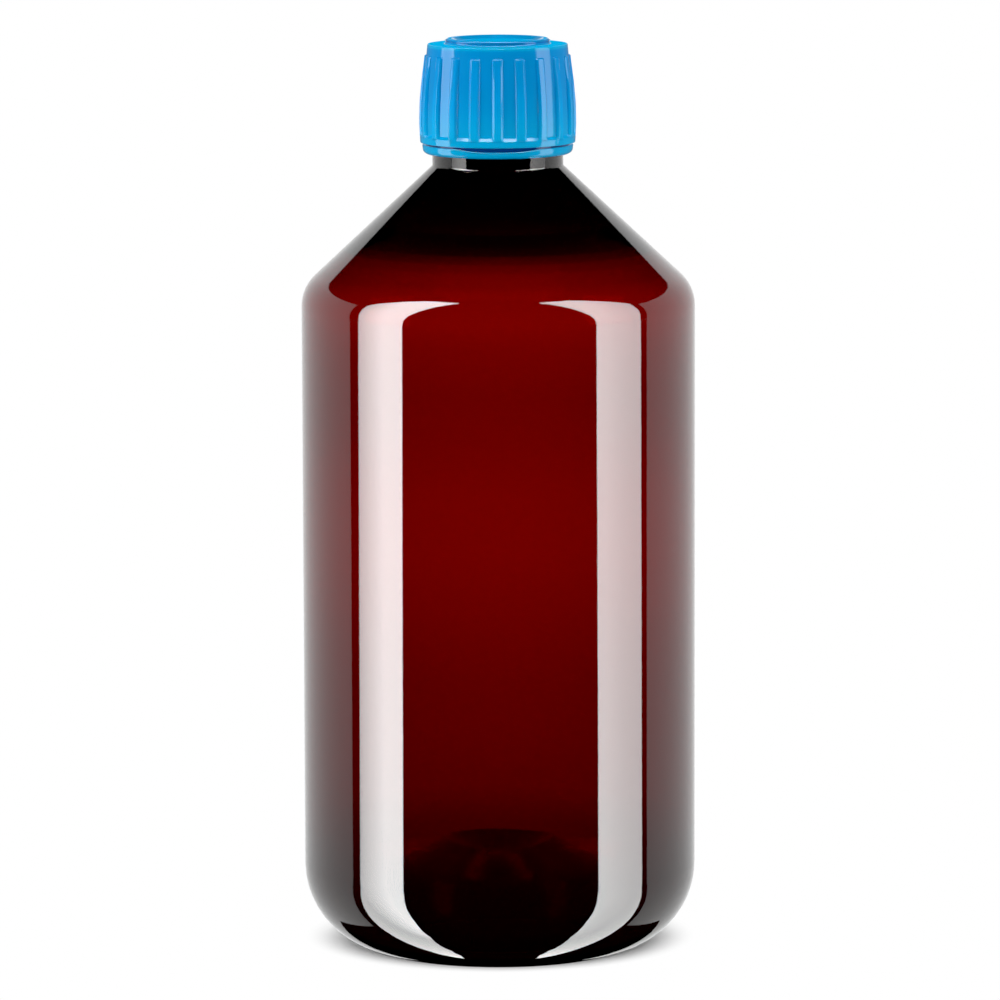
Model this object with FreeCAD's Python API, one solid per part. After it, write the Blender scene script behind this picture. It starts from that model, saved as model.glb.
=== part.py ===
import FreeCAD, Part

import math
import os

# Amber plastic bottle of about one litre with a ribbed tamper-evident screw cap.
# All sizes are millimetres. The origin is on the axis, in the plane that the foot stands on.
# +Z runs up the axis, and +X points at one of the cap's ribs.

# Bottle body
body_diameter = 91.5
shoulder_corner_height = 155.35
shoulder_angle = 47.0
shoulder_fillet = 9.5
shoulder_steps = 3
heel_radius = 20.0
heel_steps = 5
foot_width = 2.0
foot_edge_chamfer = 0.6

# Push-up in the base
push_up_rim_width = 2.4
push_up_rim_height = 17.0
push_up_rim_fillet = 6.0
push_up_crest_diameter = 25.0
push_up_crest_height = 22.8
push_up_crest_fillet = 4.0
gate_diameter = 11.0
gate_height = 18.8

# Bottle wall, thick where the plastic was stretched least
side_wall = 0.57
shoulder_wall = 0.65
shoulder_top_wall = 2.7
heel_wall = 1.3
push_up_wall = 1.4
crest_wall = 1.8
gate_wall = 2.2

# Neck finish: its walls and the bead's reach build up from the bore
bore_diameter = 24.8
neck_wall = 2.8
neck_height = 2.56
neck_chamfer = 0.6
finish_wall = 2.0
finish_height = 20.3
rim_chamfer = 0.5
thread_depth = 1.1
bead_reach = 0.85
bead_thickness = 1.1
bead_ramp = 1.4

# Tamper-evident band
band_height = 2.4
band_wall = 1.15
band_draft = 0.25
band_edge_chamfer = 0.6
nib_count = 12
nib_angle = 16.0
nib_root_thickness = 1.0
nib_tip_thickness = 0.6
nib_rise = 0.5
bridge_count = 20
bridge_length = 0.8
bridge_depth = 0.55
bridge_gap = 0.4

# Screw cap: its barrel stands round the tamper band's bore, and leans in above the straight part
cap_side_wall = 1.25
cap_straight_height = 5.0
cap_belly_height = 14.5
cap_belly_inset = 0.45
cap_top_inset = 1.4
cap_edge_chamfer = 0.35
cap_collar_height = 2.6
cap_top_wall = 2.0
cap_seat_wall = 1.0
cap_flange_reach = 0.3
cap_flange_height = 1.1
cap_flange_slope_height = 1.1

# Grip ribs on the cap
rib_count = 20
rib_width = 2.0
rib_height = 0.5
rib_foot_height = 2.4

# Raised disc on the cap's top
boss_inset = 4.15
boss_thickness = 1.0
boss_foot_inset = 0.8
boss_foot_height = 0.3
boss_edge_chamfer = 0.25
boss_rim_width = 2.8
boss_recess_depth = 0.7
boss_recess_slope = 0.8

# Sealing disc inside the cap
liner_thickness = 1.2

# Clearances
band_clearance = 0.35
nib_clearance = 0.3
thread_clearance = 0.3
liner_clearance = 0.3

# How far a cutting or joining shape runs past the surface that it works on
overrun = 1.0

# Heights and radii that follow from the sizes above
body_radius = body_diameter / 2
bore_radius = bore_diameter / 2
neck_radius = bore_radius + neck_wall
root_radius = bore_radius + finish_wall
crest_radius = root_radius + thread_depth
bead_radius = neck_radius + bead_reach
slope = math.tan(math.radians(shoulder_angle))
neck_base_height = shoulder_corner_height + (body_radius - neck_radius) / slope
foot_inner_radius = body_radius - heel_radius - foot_width
band_bottom_height = neck_base_height + neck_height
band_top_height = band_bottom_height + band_height
cap_bottom_height = band_top_height + bridge_gap
band_inner_radius = bead_radius + band_clearance
band_outer_radius = band_inner_radius + band_wall
nib_tip_radius = neck_radius + nib_clearance
nib_top_height = band_bottom_height + nib_rise + nib_root_thickness
bead_bottom_height = nib_top_height + nib_clearance
mouth_height = bead_bottom_height + finish_height
ceiling_height = mouth_height + liner_thickness
cap_top_height = ceiling_height + cap_top_wall
liner_radius = root_radius
thread_well_radius = crest_radius + thread_clearance
barrel_radius = band_inner_radius + cap_side_wall
belly_radius = barrel_radius - cap_belly_inset
top_radius = barrel_radius - cap_top_inset
flange_radius = barrel_radius + cap_flange_reach
boss_radius = top_radius - boss_inset
boss_foot_radius = boss_radius - boss_foot_inset
recess_radius = boss_radius - boss_rim_width


# Outline helpers: points lie in the plane of X (radius) and Z (height)

def point(radius, height):
    return FreeCAD.Vector(radius, 0, height)


def sharp(radius, height):
    return point(radius, height), 0, 1


def rounded(radius, height, fillet, steps):
    return point(radius, height), fillet, steps


def bevelled(radius, height, size):
    return point(radius, height), size, 1


def corner_points(before, corner, after, fillet, steps):
    """The points that take an outline round a corner: an arc in even steps, or a bevel in one."""
    if not fillet:
        return [corner]
    towards = (before - corner).normalize()
    onwards = (after - corner).normalize()
    half_angle = towards.getAngle(onwards) / 2
    centre = corner + (towards + onwards).normalize() * (fillet / math.sin(half_angle))
    first = corner + towards * (fillet / math.tan(half_angle)) - centre
    last = corner + onwards * (fillet / math.tan(half_angle)) - centre
    turn = first.getAngle(last)
    points = []
    for step in range(steps + 1):
        angle = turn * step / steps
        points.append(centre + (first * math.sin(turn - angle) + last * math.sin(angle)) / math.sin(turn))
    return points


def turned(corners):
    """A solid of revolution about the bottle's axis, from a ring of corners."""
    outline = []
    for index, (corner, fillet, steps) in enumerate(corners):
        before = corners[index - 1][0]
        after = corners[(index + 1) % len(corners)][0]
        outline += corner_points(before, corner, after, fillet, steps)
    face = Part.Face(Part.makePolygon(outline, True))
    return face.revolve(FreeCAD.Vector(), FreeCAD.Vector(0, 0, 1), 360)


def inner_outline(corners, walls):
    """The inside of a wall whose every stretch has its own thickness at its start and at its end."""
    lines = []
    for start, end, wall in zip(corners, corners[1:], walls):
        along = (end[0] - start[0]).normalize()
        inward = FreeCAD.Vector(-along.z, 0, along.x)
        lines.append((start[0] + inward * wall[0], end[0] + inward * wall[1]))
    inner = []
    for index in range(1, len(lines)):
        (a, b), (c, d) = lines[index - 1], lines[index]
        first_way = b - a
        second_way = d - c
        turn = first_way.x * second_way.z - first_way.z * second_way.x
        share = ((c.x - a.x) * second_way.z - (c.z - a.z) * second_way.x) / turn
        meeting = a + first_way * share
        wall = (walls[index - 1][1] + walls[index][0]) / 2
        outer_fillet, steps = corners[index][1:]
        inner_fillet = outer_fillet - wall if steps > 1 else 0
        inner.append((meeting, inner_fillet, max(steps - 2, 1)))
    return inner


def spread(shape, count):
    """Copies of a shape, evenly spaced round the axis, the first one as it is."""
    copies = []
    for index in range(count):
        copy = shape.copy()
        copy.rotate(FreeCAD.Vector(), FreeCAD.Vector(0, 0, 1), 360.0 * index / count)
        copies.append(copy)
    return copies


# Bottle: one blown piece with its neck finish

def bottle():
    outside = [
        sharp(0, gate_height),
        sharp(gate_diameter / 2, gate_height),
        bevelled(push_up_crest_diameter / 2, push_up_crest_height, push_up_crest_fillet),
        bevelled(foot_inner_radius - push_up_rim_width, push_up_rim_height, push_up_rim_fillet),
        bevelled(foot_inner_radius, 0, foot_edge_chamfer),
        rounded(body_radius, 0, heel_radius, heel_steps),
        rounded(body_radius, shoulder_corner_height, shoulder_fillet, shoulder_steps),
        bevelled(neck_radius, neck_base_height, neck_chamfer),
        sharp(neck_radius, bead_bottom_height),
    ]
    walls = [
        (gate_wall, gate_wall),
        (gate_wall, crest_wall),
        (crest_wall, push_up_wall),
        (push_up_wall, push_up_wall),
        (heel_wall, heel_wall),
        (side_wall, side_wall),
        (shoulder_wall, shoulder_top_wall),
        (neck_wall, neck_wall),
    ]
    bead_top = bead_bottom_height + bead_thickness
    finish = [
        sharp(bead_radius, bead_bottom_height),
        sharp(bead_radius, bead_top),
        sharp(root_radius, bead_top + bead_ramp),
        bevelled(root_radius, mouth_height, rim_chamfer),
        sharp(0, mouth_height),
    ]
    floor_point = [sharp(0, gate_height + gate_wall)]
    inside = inner_outline(outside, walls)
    way_out = [sharp(bore_radius, mouth_height + overrun), sharp(0, mouth_height + overrun)]
    return turned(outside + finish).cut(turned(floor_point + inside + way_out))


# Tamper band: a ring with nibs that catch under the neck's bead and bridges that meet the cap

def band_nibs():
    root = band_inner_radius + overrun / 2
    nib = turned([
        sharp(nib_tip_radius, nib_top_height - nib_tip_thickness),
        sharp(root, nib_top_height - nib_root_thickness),
        sharp(root, nib_top_height),
        sharp(nib_tip_radius, nib_top_height),
    ])
    reach = band_inner_radius + overrun
    half_width = reach * math.tan(math.radians(nib_angle / 2))
    corners = [
        FreeCAD.Vector(0, 0, band_bottom_height),
        FreeCAD.Vector(reach, -half_width, band_bottom_height),
        FreeCAD.Vector(reach, half_width, band_bottom_height),
    ]
    sector = Part.Face(Part.makePolygon(corners, True)).extrude(FreeCAD.Vector(0, 0, band_height))
    return spread(nib.common(sector), nib_count)


def band_bridges():
    outer = band_outer_radius - band_draft
    corner = FreeCAD.Vector(outer - bridge_depth, -bridge_length / 2, band_top_height - overrun / 2)
    bridge = Part.makeBox(bridge_depth, bridge_length, bridge_gap + overrun / 2, corner)
    return spread(bridge, bridge_count)


def tamper_band():
    ring = turned([
        sharp(band_inner_radius, band_bottom_height),
        bevelled(band_outer_radius - band_draft, band_bottom_height, band_edge_chamfer),
        sharp(band_outer_radius, band_top_height),
        sharp(band_inner_radius, band_top_height),
    ])
    return ring.multiFuse(band_nibs() + band_bridges()).removeSplitter()


# Screw cap: ribbed shell with a flange at its lower edge and a raised disc on top

def barrel_line(extra):
    """The barrel's side from the lower edge to the top, moved outwards by extra."""
    return [
        (barrel_radius + extra, cap_bottom_height),
        (barrel_radius + extra, cap_bottom_height + cap_straight_height),
        (belly_radius + extra, cap_bottom_height + cap_belly_height),
        (top_radius + extra, cap_top_height),
    ]


def barrel():
    """The cap's outside without flange, ribs and disc."""
    side = [sharp(radius, height) for radius, height in barrel_line(0)[:-1]]
    top = [bevelled(top_radius, cap_top_height, cap_edge_chamfer), sharp(0, cap_top_height)]
    return turned([sharp(0, cap_bottom_height)] + side + top)


def rib_bar():
    """A rib as a bar that follows the barrel's side, with a foot flush with the flange."""
    foot_top = cap_bottom_height + rib_foot_height
    outside = [(flange_radius, foot_top), (barrel_radius + rib_height, foot_top)]
    outside += barrel_line(rib_height)[1:]
    start = [(flange_radius, cap_bottom_height + cap_flange_height / 2)]
    inside = barrel_line(-rib_height)[::-1]
    inside[-1] = (inside[-1][0], start[0][1])
    side = [FreeCAD.Vector(radius, -rib_width / 2, height) for radius, height in start + outside + inside]
    return Part.Face(Part.makePolygon(side, True)).extrude(FreeCAD.Vector(0, rib_width, 0))


def rib_end():
    """What trims a rib below the collar and takes the corners off its upper end."""
    top = cap_top_height - cap_collar_height
    inner = top_radius - overrun
    side = rib_width / 2
    tip = rib_width / 4
    front = [(side, cap_bottom_height), (side, top - side), (tip, top), (-tip, top), (-side, top - side)]
    front.append((-side, cap_bottom_height))
    corners = [FreeCAD.Vector(inner, across, height) for across, height in front]
    return Part.Face(Part.makePolygon(corners, True)).extrude(FreeCAD.Vector(flange_radius, 0, 0))


def grip_ribs():
    return spread(rib_bar().common(rib_end()), rib_count)


def flange():
    top = cap_bottom_height + cap_flange_height
    return turned([
        sharp(barrel_radius - overrun / 2, cap_bottom_height),
        sharp(flange_radius, cap_bottom_height),
        sharp(flange_radius, top),
        sharp(barrel_radius, top + cap_flange_slope_height),
        sharp(barrel_radius - overrun / 2, top + cap_flange_slope_height),
    ])


def boss():
    foot_top = cap_top_height + boss_foot_height
    top = foot_top + boss_thickness
    recess_floor = top - boss_recess_depth
    return turned([
        sharp(0, cap_top_height - overrun / 2),
        sharp(boss_foot_radius, cap_top_height - overrun / 2),
        sharp(boss_foot_radius, foot_top),
        sharp(boss_radius, foot_top),
        bevelled(boss_radius, top, boss_edge_chamfer),
        sharp(recess_radius, top),
        sharp(recess_radius - boss_recess_slope, recess_floor),
        sharp(0, recess_floor),
    ])


def cap_hollow():
    seat = liner_radius + liner_clearance
    well = band_inner_radius
    well_top = bead_bottom_height + bead_thickness + bead_ramp
    seat_bottom = mouth_height - liner_thickness
    return turned([
        sharp(0, cap_bottom_height - overrun),
        sharp(well, cap_bottom_height - overrun),
        sharp(well, well_top),
        sharp(thread_well_radius, well_top + well - thread_well_radius),
        sharp(thread_well_radius, seat_bottom - cap_seat_wall),
        sharp(seat, seat_bottom),
        sharp(seat, ceiling_height),
        sharp(0, ceiling_height),
    ])


def screw_cap():
    shell = barrel().multiFuse([flange(), boss()] + grip_ribs())
    return shell.cut(cap_hollow()).removeSplitter()


# Sealing disc: a flat disc between the cap's ceiling and the neck's rim

def liner_disc():
    return Part.makeCylinder(liner_radius, liner_thickness, point(0, mouth_height))


os.makedirs("parts", exist_ok=True)
pieces = {
    "bottle": bottle(),
    "tamper_band": tamper_band(),
    "screw_cap": screw_cap(),
    "liner_disc": liner_disc(),
}
for name, shape in pieces.items():
    solid = shape.Solids[0]
    print(name, len(shape.Solids), shape.isValid(), round(solid.Volume, 1))
    solid.exportStep("parts/" + name + ".step")
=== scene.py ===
import math

import bmesh
import bpy
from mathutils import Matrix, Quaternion, Vector


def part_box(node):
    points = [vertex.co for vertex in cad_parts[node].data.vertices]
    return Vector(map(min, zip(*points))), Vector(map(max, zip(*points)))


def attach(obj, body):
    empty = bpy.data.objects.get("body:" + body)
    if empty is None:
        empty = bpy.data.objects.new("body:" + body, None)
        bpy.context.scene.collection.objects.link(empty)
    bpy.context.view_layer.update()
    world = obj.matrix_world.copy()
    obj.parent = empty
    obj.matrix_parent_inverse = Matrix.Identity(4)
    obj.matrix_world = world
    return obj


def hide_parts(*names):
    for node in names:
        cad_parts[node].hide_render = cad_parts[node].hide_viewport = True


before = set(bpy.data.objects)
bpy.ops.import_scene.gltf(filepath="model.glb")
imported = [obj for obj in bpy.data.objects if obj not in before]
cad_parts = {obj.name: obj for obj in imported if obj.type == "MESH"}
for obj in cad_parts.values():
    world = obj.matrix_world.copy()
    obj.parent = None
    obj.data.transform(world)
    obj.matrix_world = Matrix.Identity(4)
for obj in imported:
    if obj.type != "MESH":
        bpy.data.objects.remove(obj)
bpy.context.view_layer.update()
print("frame loaded:", ", ".join(sorted(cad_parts)))

mm = 0.001
scene = bpy.context.scene


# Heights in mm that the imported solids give
def lowest(node):
    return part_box(node)[0].z / mm


def highest(node):
    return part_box(node)[1].z / mm


mouthHeight = highest("bottle")
bandBottom = lowest("tamper_band")
capBottom = lowest("screw_cap")
capTop = highest("screw_cap")
ceilingHeight = highest("liner_disc")


# Small helpers
def linear(hexColour):
    # sRGB hex turned into the linear colour that a socket takes
    shares = [int(hexColour[i:i + 2], 16) / 255 for i in (1, 3, 5)]
    bent = [c / 12.92 if c <= 0.04045 else ((c + 0.055) / 1.055) ** 2.4 for c in shares]
    return (*bent, 1.0)


def addNode(tree, kind, settings=None, links=None):
    # settings are the node's own options or inputs by name or number; links take a socket, or a
    # node for its first output
    node = tree.nodes.new(kind)
    for key, value in (settings or {}).items():
        if isinstance(key, str) and hasattr(node, key):
            setattr(node, key, value)
        else:
            node.inputs[key].default_value = value
    for key, source in (links or {}).items():
        tree.links.new(source.outputs[0] if isinstance(source, bpy.types.Node) else source, node.inputs[key])
    return node


def calc(tree, operation, *values):
    # one sum: each value is a number, a socket or a node
    numbers = {i: value for i, value in enumerate(values) if isinstance(value, (int, float))}
    links = {i: value for i, value in enumerate(values) if i not in numbers}
    return addNode(tree, "ShaderNodeMath", {"operation": operation, **numbers}, links)


def roundCorner(before, corner, after, rounding, stepAngle):
    if rounding == 0:
        return [corner]
    towards = (before - corner).normalized()
    onwards = (after - corner).normalized()
    half = towards.angle(onwards) / 2
    centre = corner + (towards + onwards).normalized() * (rounding / math.sin(half))
    first = corner + towards * (rounding / math.tan(half)) - centre
    last = corner + onwards * (rounding / math.tan(half)) - centre
    turn = first.angle(last)
    steps = max(2, math.ceil(math.degrees(turn) / stepAngle))
    angles = [turn * step / steps for step in range(steps + 1)]
    return [centre + (first * math.sin(turn - a) + last * math.sin(a)) / math.sin(turn) for a in angles]


def roundOutline(corners, closed, stepAngle=7.0, hold=0.1):
    # corners are (radius, height, rounding) in mm; a short hold beside each corner keeps the
    # straight parts straight under smooth shading
    places = [Vector(corner[:2]) for corner in corners]
    count = len(corners)
    spans = []
    for i in range(count):
        before, after = places[i - 1], places[(i + 1) % count]
        spans.append(roundCorner(before, places[i], after, corners[i][2], stepAngle))
    outline = []
    for i in range(count):
        outline += spans[i]
        if i == count - 1 and not closed:
            break
        start, end = spans[i][-1], spans[(i + 1) % count][0]
        if (end - start).length > 3 * hold:
            way = (end - start).normalized() * hold
            outline += [start + way, end - way]
    return outline


def addRows(outline, low, high, spacing, innermost=0.0, outermost=1000.0):
    # extra rows on the walls between two heights, where a raised shape needs them
    result = []
    for a, b in zip(outline, outline[1:]):
        result.append(a)
        bottom = max(low, min(a.y, b.y))
        top = min(high, max(a.y, b.y))
        if top - bottom > spacing and innermost < min(a.x, b.x) and max(a.x, b.x) < outermost:
            steps = math.ceil((top - bottom) / spacing)
            heights = [bottom + (top - bottom) * step / steps for step in range(steps + 1)]
            if b.y < a.y:
                heights.reverse()
            shares = [(height - a.y) / (b.y - a.y) for height in heights]
            result += [a.lerp(b, share) for share in shares if 0.001 < share < 0.999]
    return result + [outline[-1]]


def spin(name, outline, angles, rise=None):
    # one closed skin about the axis; a point on the axis becomes a pole, and rise marks how far
    # the raised shapes lift each ring, in mm
    work = bmesh.new()
    lift = work.verts.layers.float.new("rise")
    rings = []
    for radius, height in outline:
        turns = angles if radius > 0.001 else [0.0]
        ring = []
        for angle in turns:
            place = (radius * mm * math.cos(angle), radius * mm * math.sin(angle), height * mm)
            vertex = work.verts.new(place)
            vertex[lift] = rise(radius, height) * mm if rise else 0.0
            ring.append(vertex)
        rings.append(ring)
    pairs = list(zip(rings, rings[1:]))
    if len(rings[0]) > 1:
        pairs.append((rings[-1], rings[0]))
    for lower, upper in pairs:
        for k in range(len(angles)):
            n = (k + 1) % len(angles)
            around = [lower[k % len(lower)], lower[n % len(lower)], upper[n % len(upper)],
                      upper[k % len(upper)]]
            work.faces.new(list(dict.fromkeys(around)))
    bmesh.ops.recalc_face_normals(work, faces=work.faces)
    for face in work.faces:
        face.smooth = True
    mesh = bpy.data.meshes.new(name)
    work.to_mesh(mesh)
    work.free()
    piece = bpy.data.objects.new(name, mesh)
    scene.collection.objects.link(piece)
    return piece


def evenAngles(count):
    return [2 * math.pi * k / count for k in range(count)]


def newTree(name, inputs):
    # a geometry tree with a geometry way through, a material, and named sizes
    tree = bpy.data.node_groups.new(name, "GeometryNodeTree")
    tree.interface.new_socket("Geometry", in_out="INPUT", socket_type="NodeSocketGeometry")
    for label, kind in inputs.items():
        tree.interface.new_socket(label, in_out="INPUT", socket_type=kind)
    tree.interface.new_socket("Material", in_out="INPUT", socket_type="NodeSocketMaterial")
    tree.interface.new_socket("Geometry", in_out="OUTPUT", socket_type="NodeSocketGeometry")
    return tree, addNode(tree, "NodeGroupInput")


def aroundAxis(tree):
    # each point's x, y and z, and its angle about the axis
    x, y, z = addNode(tree, "ShaderNodeSeparateXYZ", {},
                      {0: addNode(tree, "GeometryNodeInputPosition")}).outputs
    return x, y, z, calc(tree, "ARCTAN2", y, x)


def moveOut(tree, given, outwards, distance, more=None):
    way = addNode(tree, "ShaderNodeVectorMath", {"operation": "NORMALIZE"}, {0: outwards})
    lift = addNode(tree, "ShaderNodeVectorMath", {"operation": "SCALE"}, {0: way, "Scale": distance})
    links = {"Geometry": given.outputs["Geometry"], "Offset": lift, **(more or {})}
    return addNode(tree, "GeometryNodeSetPosition", {}, links)


def endTree(tree, given, geometry):
    realized = addNode(tree, "GeometryNodeRealizeInstances", {}, {0: geometry})
    links = {"Geometry": realized, "Material": given.outputs["Material"]}
    painted = addNode(tree, "GeometryNodeSetMaterial", {}, links)
    smooth = addNode(tree, "GeometryNodeSetShadeSmooth", {"Shade Smooth": True}, {0: painted})
    addNode(tree, "NodeGroupOutput", {}, {0: smooth})


def runTree(piece, tree, values):
    # sets the tree's inputs by their identifiers, and keeps the result as a plain mesh
    modifier = piece.modifiers.new(tree.name, "NODES")
    modifier.node_group = tree
    for item in tree.interface.items_tree:
        if item.in_out == "INPUT" and item.name in values:
            modifier[item.identifier] = values[item.name]
    graph = bpy.context.evaluated_depsgraph_get()
    result = bpy.data.meshes.new_from_object(
        piece.evaluated_get(graph), preserve_all_data_layers=True, depsgraph=graph)
    piece.modifiers.clear()
    result.name = piece.name
    piece.data = result


# Geometry Nodes: bars raised round the axis, such as the cap's ribs and the band's nibs
barSettings = {
    "endStretch": 2.2,              # how much sooner a bar ends upwards than sideways
    "steepShare": 0.2, "steepRise": 0.45,    # this share of the flank makes this share of the rise
}


def raisedBars(s=barSettings):
    sizes = {"Count": "NodeSocketInt"}
    sizes.update({name: "NodeSocketFloat" for name in ("Radius", "Width", "Top", "Corner", "Flank")})
    tree, given = newTree("raisedBars", sizes)
    x, y, z, turn = aroundAxis(tree)
    perBar = calc(tree, "DIVIDE", 2 * math.pi, given.outputs["Count"])
    inBars = calc(tree, "DIVIDE", turn, perBar)
    nearest = calc(tree, "ROUND", inBars)
    share = calc(tree, "SUBTRACT", inBars, nearest)
    angle = calc(tree, "MULTIPLY", share, perBar)
    signed = calc(tree, "MULTIPLY", angle, given.outputs["Radius"])
    across = calc(tree, "ABSOLUTE", signed)
    half = calc(tree, "MULTIPLY", given.outputs["Width"], 0.5)
    core = calc(tree, "SUBTRACT", half, given.outputs["Corner"])
    coreTop = calc(tree, "SUBTRACT", given.outputs["Top"], given.outputs["Corner"])
    beside = calc(tree, "SUBTRACT", across, core)
    above = calc(tree, "SUBTRACT", z, coreTop)
    outBeside = calc(tree, "MAXIMUM", beside, 0.0)
    outAbove = calc(tree, "MAXIMUM", above, 0.0)
    stretched = calc(tree, "MULTIPLY", outAbove, s["endStretch"])
    fromCore = addNode(tree, "ShaderNodeCombineXYZ", {}, {0: outBeside, 2: stretched})
    distance = addNode(tree, "ShaderNodeVectorMath", {"operation": "LENGTH"}, {0: fromCore})
    edge = calc(tree, "SUBTRACT", given.outputs["Corner"], given.outputs["Flank"])
    # the flank is steep at its foot, and then a long slope up to the bar's flat front
    upFlank = addNode(tree, "ShaderNodeMapRange", {},
                      {"Value": distance.outputs["Value"], "From Min": given.outputs["Corner"],
                       "From Max": edge})
    steep = addNode(tree, "ShaderNodeMapRange", {"From Max": s["steepShare"], "To Max": s["steepRise"]},
                    {"Value": upFlank})
    gentle = addNode(tree, "ShaderNodeMapRange",
                     {"From Min": s["steepShare"], "To Max": 1.0 - s["steepRise"]}, {"Value": upFlank})
    mask = calc(tree, "ADD", steep, gentle)
    rise = addNode(tree, "GeometryNodeInputNamedAttribute", {"data_type": "FLOAT", "Name": "rise"})
    height = calc(tree, "MULTIPLY", mask, rise.outputs["Attribute"])
    outwards = addNode(tree, "ShaderNodeCombineXYZ", {}, {0: x, 1: y})
    moved = moveOut(tree, given, outwards, height)
    # the lift is also kept as 'raised', from which the cap's material paints light on the ribs' fronts
    marked = addNode(tree, "GeometryNodeStoreNamedAttribute",
                     {"data_type": "FLOAT", "domain": "POINT", "Name": "raised"},
                     {"Geometry": moved, "Value": height})
    endTree(tree, given, marked)
    return tree


# Geometry Nodes: a right-handed thread ridge raised from a round wall, fading out at both ends
nearWall = 0.3    # mm, only points this near the wall are moved


def helicalThread():
    names = ("Pitch", "Turns", "Top", "Crest", "Flank", "Depth", "Run Out", "Outside")
    tree, given = newTree("helicalThread", {name: "NodeSocketFloat" for name in names})
    x, y, z, angle = aroundAxis(tree)
    turn = calc(tree, "DIVIDE", angle, 2 * math.pi)
    fall = calc(tree, "SUBTRACT", given.outputs["Top"], z)
    turnsDown = calc(tree, "DIVIDE", fall, given.outputs["Pitch"])
    both = calc(tree, "ADD", turnsDown, turn)
    whole = calc(tree, "ROUND", both)
    along = calc(tree, "SUBTRACT", whole, turn)
    off = calc(tree, "SUBTRACT", turnsDown, along)
    offHeight = calc(tree, "MULTIPLY", off, given.outputs["Pitch"])
    distance = calc(tree, "ABSOLUTE", offHeight)
    crestHalf = calc(tree, "MULTIPLY", given.outputs["Crest"], 0.5)
    rootHalf = calc(tree, "ADD", crestHalf, given.outputs["Flank"])
    ridge = addNode(tree, "ShaderNodeMapRange",
                    {"interpolation_type": "SMOOTHSTEP", "To Min": 0.0, "To Max": 1.0},
                    {"Value": distance, "From Min": rootHalf, "From Max": crestHalf})
    start = addNode(tree, "ShaderNodeMapRange", {"interpolation_type": "SMOOTHSTEP", "From Min": 0.0},
                    {"Value": along, "From Max": given.outputs["Run Out"]})
    fade = calc(tree, "SUBTRACT", given.outputs["Turns"], given.outputs["Run Out"])
    end = addNode(tree, "ShaderNodeMapRange",
                  {"interpolation_type": "SMOOTHSTEP", "To Min": 1.0, "To Max": 0.0},
                  {"Value": along, "From Min": fade, "From Max": given.outputs["Turns"]})
    ends = calc(tree, "MULTIPLY", start, end)
    mask = calc(tree, "MULTIPLY", ends, ridge)
    depth = calc(tree, "MULTIPLY", mask, given.outputs["Depth"])
    outwards = addNode(tree, "ShaderNodeCombineXYZ", {}, {0: x, 1: y})
    radius = addNode(tree, "ShaderNodeVectorMath", {"operation": "LENGTH"}, {0: outwards})
    beyond = calc(tree, "SUBTRACT", radius.outputs["Value"], given.outputs["Outside"])
    near = calc(tree, "COMPARE", beyond, 0.0, nearWall * mm)
    moved = moveOut(tree, given, outwards, depth, {"Selection": near})
    endTree(tree, given, moved)
    return tree


# Geometry Nodes: small posts that stand in a ring on a piece
def standingPosts():
    sizes = {"Count": "NodeSocketInt"}
    sizes.update({name: "NodeSocketFloat" for name in ("Ring Radius", "Foot", "Height", "Foot Width",
                                                       "Tip Width")})
    tree, given = newTree("standingPosts", sizes)
    footRadius = calc(tree, "MULTIPLY", given.outputs["Foot Width"], 0.5)
    tipRadius = calc(tree, "MULTIPLY", given.outputs["Tip Width"], 0.5)
    post = addNode(tree, "GeometryNodeMeshCone", {"Vertices": 12},
                   {"Radius Top": tipRadius, "Radius Bottom": footRadius, "Depth": given.outputs["Height"]})
    where = addNode(tree, "ShaderNodeCombineXYZ", {},
                    {0: given.outputs["Ring Radius"], 2: given.outputs["Foot"]})
    placed = addNode(tree, "GeometryNodeTransform", {},
                     {"Geometry": post.outputs["Mesh"], "Translation": where})
    points = addNode(tree, "GeometryNodeMeshLine", {"Offset": (0.0, 0.0, 0.0)},
                     {"Count": given.outputs["Count"]})
    step = calc(tree, "DIVIDE", 2 * math.pi, given.outputs["Count"])
    number = addNode(tree, "GeometryNodeInputIndex")
    angle = calc(tree, "MULTIPLY", number, step)
    turn = addNode(tree, "ShaderNodeCombineXYZ", {}, {2: angle})
    ring = addNode(tree, "GeometryNodeInstanceOnPoints", {},
                   {"Points": points, "Instance": placed, "Rotation": turn})
    joined = addNode(tree, "GeometryNodeJoinGeometry", {}, {0: ring})
    tree.links.new(given.outputs["Geometry"], joined.inputs[0])
    endTree(tree, given, joined)
    return tree


# Materials
def newMaterial(name):
    material = bpy.data.materials.new(name)
    material.use_nodes = True
    tree = material.node_tree
    tree.nodes.clear()
    return material, tree, addNode(tree, "ShaderNodeTexCoord").outputs["Object"]


amberPetSettings = {
    "colour": "#FFB566",           # dye tint at each face, nearly clear
    "dye": "#E0200A",              # what is left of white inside the wall
    "dyePerMetre": 5900.0,
    "roughness": 0.0,
    "waveLength": 21.0,            # mm, slow waves of the blown wall
    "waveHeight": 0.010,
    "streakWidth": 2.2,            # mm, faint drawing lines up the wall
    "streakHeight": 0.0006,
}


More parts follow.
